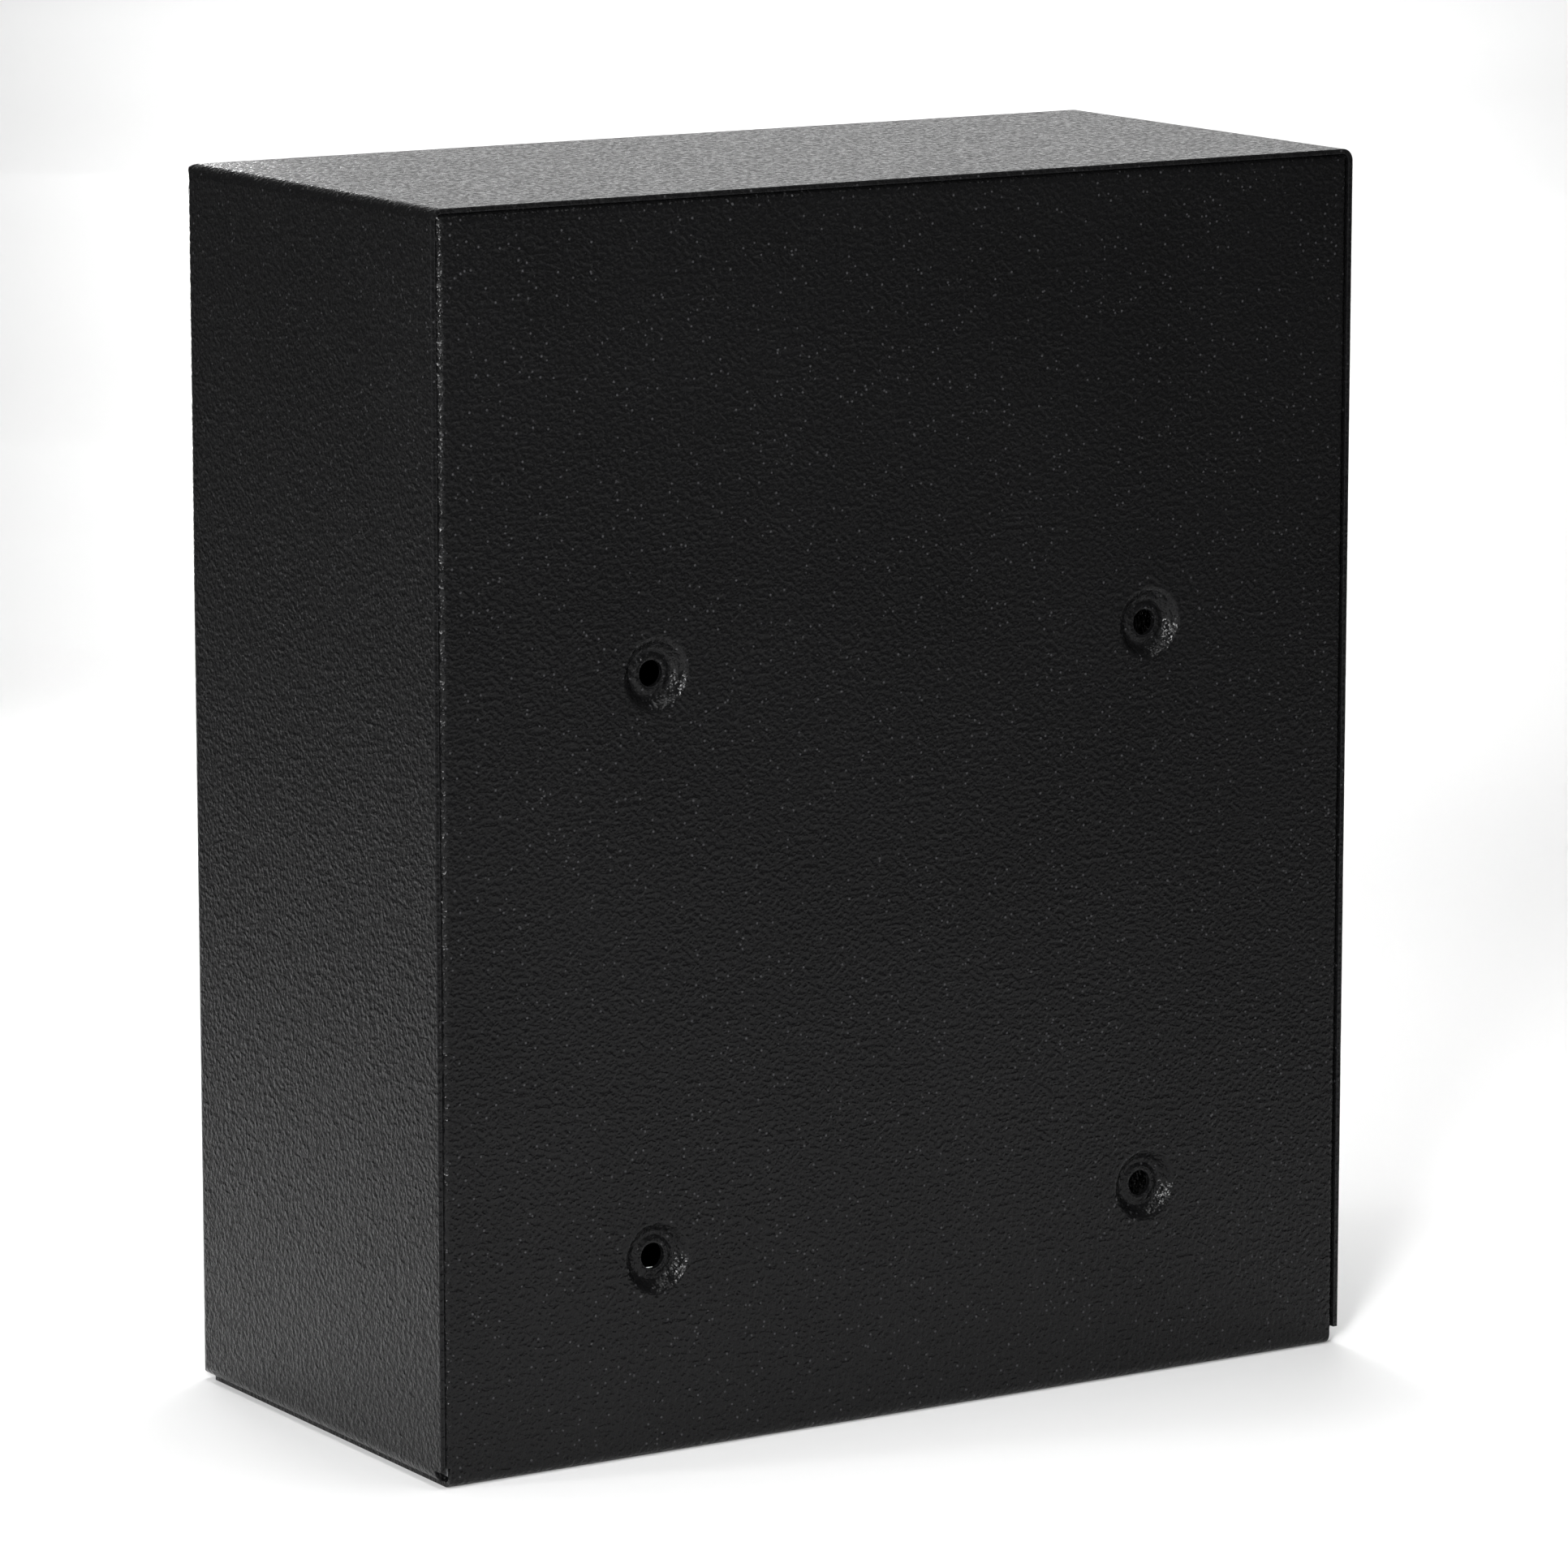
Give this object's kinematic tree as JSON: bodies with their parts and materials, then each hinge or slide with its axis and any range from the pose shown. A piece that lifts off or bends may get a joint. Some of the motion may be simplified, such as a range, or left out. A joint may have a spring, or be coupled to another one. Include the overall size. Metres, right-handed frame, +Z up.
{
  "type": "wall safe",
  "caption": "Black steel wall safe: folded cabinet with recessed wall holes in its back, and an inset keypad door with turn knob and sliding bolts.",
  "frame": {"origin": "on the wall face of the back panel, in the middle of the four wall holes", "axes": "+Y out of the back towards the wall, +Z up, +X to the right as you face the door"},
  "size_m": [0.258, 0.1444, 0.3],
  "materials": {
    "body_coat": "fine-textured black powder coat",
    "door_coat": "fine-textured black powder coat",
    "bracket_steel": "satin black paint",
    "mat_felt": "charcoal felt",
    "zinc_steel": "zinc plated, dull",
    "bright_steel": "turned bright steel",
    "chrome_steel": "bright plate",
    "lock_metal": "satin plate",
    "brass_parts": "turned brass",
    "screw_steel": "zinc plated",
    "nylon": "natural nylon",
    "knob_plastic": "fine satin",
    "pad_plastic": "fine moulded texture",
    "key_rubber": "satin silicone",
    "board_green": "solder mask",
    "lens_red": "smoked red",
    "coil_winding": "varnished winding",
    "ribbon_grey": "flat cable",
    "lead_red": "insulated wire",
    "button_red": "moulded",
    "tray_plastic": "moulded",
    "cell_wrap": "printed sleeve, plain"
  },
  "bodies": {
    "cabinet": {"cabinet_wrap": "body_coat", "back_panel": "body_coat", "upper_hinge_plate": "bracket_steel", "lower_hinge_plate": "bracket_steel", "strike_plate": "bracket_steel", "shelf": "body_coat", "shelf_rails": "bracket_steel", "floor_mat": "mat_felt"},
    "door": {"door_panel": "door_coat", "upper_hinge_bracket": "bracket_steel", "lower_hinge_bracket": "bracket_steel", "hinge_pins": "bright_steel", "bolt_guide": "zinc_steel", "guide_posts": "bright_steel", "threaded_posts": "brass_parts", "door_back_cover": "body_coat", "cover_screws": "screw_steel", "shaft_bushing": "nylon", "solenoid_frame": "zinc_steel", "solenoid_coil": "coil_winding", "lock_cylinder": "chrome_steel", "lock_nut": "brass_parts", "flap_rivet": "bright_steel", "keypad_housing": "pad_plastic", "keypad_board": "board_green", "status_lens": "lens_red", "jump_contacts": "brass_parts", "keypad_screws": "screw_steel", "control_board": "board_green", "inner_screws": "screw_steel", "ribbon_cable": "ribbon_grey", "lead_wires": "lead_red", "battery_tray": "tray_plastic", "batteries": "cell_wrap"},
    "knob_set": {"knob": "knob_plastic", "knob_shaft": "bright_steel", "crank_plate": "zinc_steel", "crank_pin": "bright_steel"},
    "bolt_works": {"bolt_carriage": "zinc_steel", "locking_bolts": "chrome_steel"},
    "plunger_set": {"solenoid_plunger": "bright_steel", "plunger_spring": "bright_steel"},
    "key_plug": {"lock_plug": "lock_metal", "lock_cam": "zinc_steel"},
    "flap": {"keyhole_flap": "knob_plastic"},
    "reset": {"reset_button": "button_red"},
    "battery_lid": {"battery_cover": "tray_plastic"},
    "press_1": {"key_1": "key_rubber"},
    "press_2": {"key_2": "key_rubber"},
    "press_3": {"key_3": "key_rubber"},
    "press_4": {"key_4": "key_rubber"},
    "press_5": {"key_5": "key_rubber"},
    "press_6": {"key_6": "key_rubber"},
    "press_7": {"key_7": "key_rubber"},
    "press_8": {"key_8": "key_rubber"},
    "press_9": {"key_9": "key_rubber"},
    "press_star": {"key_star": "key_rubber"},
    "press_0": {"key_0": "key_rubber"},
    "press_hash": {"key_hash": "key_rubber"}
  },
  "joints": [
    {"name": "door_swing", "type": "hinge", "parent": "cabinet", "child": "door", "pos_m": [-0.105, -0.114, 0.032], "axis": [0, 0, -1], "range_deg": [0, 110]},
    {"name": "knob_turn", "type": "hinge", "parent": "door", "child": "knob_set", "pos_m": [0, -0.12, -0.008], "axis": [0, 1, 0], "range_deg": [0, 80]},
    {"name": "bolt_slide", "type": "slide", "parent": "door", "child": "bolt_works", "axis": [1, 0, 0], "range_m": [0, 0.01286]},
    {"name": "plunger_slide", "type": "slide", "parent": "door", "child": "plunger_set", "axis": [0, 0, -1], "range_m": [0, 0.004], "deforming": ["plunger_spring"]},
    {"name": "key_turn", "type": "hinge", "parent": "door", "child": "key_plug", "pos_m": [0, -0.12, -0.066], "axis": [0, 1, 0], "range_deg": [0, 90]},
    {"name": "flap_swing", "type": "hinge", "parent": "door", "child": "flap", "pos_m": [0, -0.124, -0.047], "axis": [0, 1, 0], "range_deg": [-110, 110]},
    {"name": "reset_press", "type": "slide", "parent": "door", "child": "reset", "axis": [0, -1, 0], "range_m": [0, 0.001], "stiffness_N_per_m": 400},
    {"name": "battery_lid_lift", "type": "slide", "parent": "door", "child": "battery_lid", "axis": [0, 1, 0], "range_m": [0, 0.012]},
    {"name": "key_1_press", "type": "slide", "parent": "door", "child": "press_1", "axis": [0, 1, 0], "range_m": [0, 0.001], "stiffness_N_per_m": 400},
    {"name": "key_2_press", "type": "slide", "parent": "door", "child": "press_2", "axis": [0, 1, 0], "range_m": [0, 0.001], "stiffness_N_per_m": 400},
    {"name": "key_3_press", "type": "slide", "parent": "door", "child": "press_3", "axis": [0, 1, 0], "range_m": [0, 0.001], "stiffness_N_per_m": 400},
    {"name": "key_4_press", "type": "slide", "parent": "door", "child": "press_4", "axis": [0, 1, 0], "range_m": [0, 0.001], "stiffness_N_per_m": 400},
    {"name": "key_5_press", "type": "slide", "parent": "door", "child": "press_5", "axis": [0, 1, 0], "range_m": [0, 0.001], "stiffness_N_per_m": 400},
    {"name": "key_6_press", "type": "slide", "parent": "door", "child": "press_6", "axis": [0, 1, 0], "range_m": [0, 0.001], "stiffness_N_per_m": 400},
    {"name": "key_7_press", "type": "slide", "parent": "door", "child": "press_7", "axis": [0, 1, 0], "range_m": [0, 0.001], "stiffness_N_per_m": 400},
    {"name": "key_8_press", "type": "slide", "parent": "door", "child": "press_8", "axis": [0, 1, 0], "range_m": [0, 0.001], "stiffness_N_per_m": 400},
    {"name": "key_9_press", "type": "slide", "parent": "door", "child": "press_9", "axis": [0, 1, 0], "range_m": [0, 0.001], "stiffness_N_per_m": 400},
    {"name": "key_star_press", "type": "slide", "parent": "door", "child": "press_star", "axis": [0, 1, 0], "range_m": [0, 0.001], "stiffness_N_per_m": 400},
    {"name": "key_0_press", "type": "slide", "parent": "door", "child": "press_0", "axis": [0, 1, 0], "range_m": [0, 0.001], "stiffness_N_per_m": 400},
    {"name": "key_hash_press", "type": "slide", "parent": "door", "child": "press_hash", "axis": [0, 1, 0], "range_m": [0, 0.001], "stiffness_N_per_m": 400}
  ],
  "couplings": [
    {"joint": "knob_turn", "follows": "bolt_slide", "rad_per_m": 108.6}
  ]
}
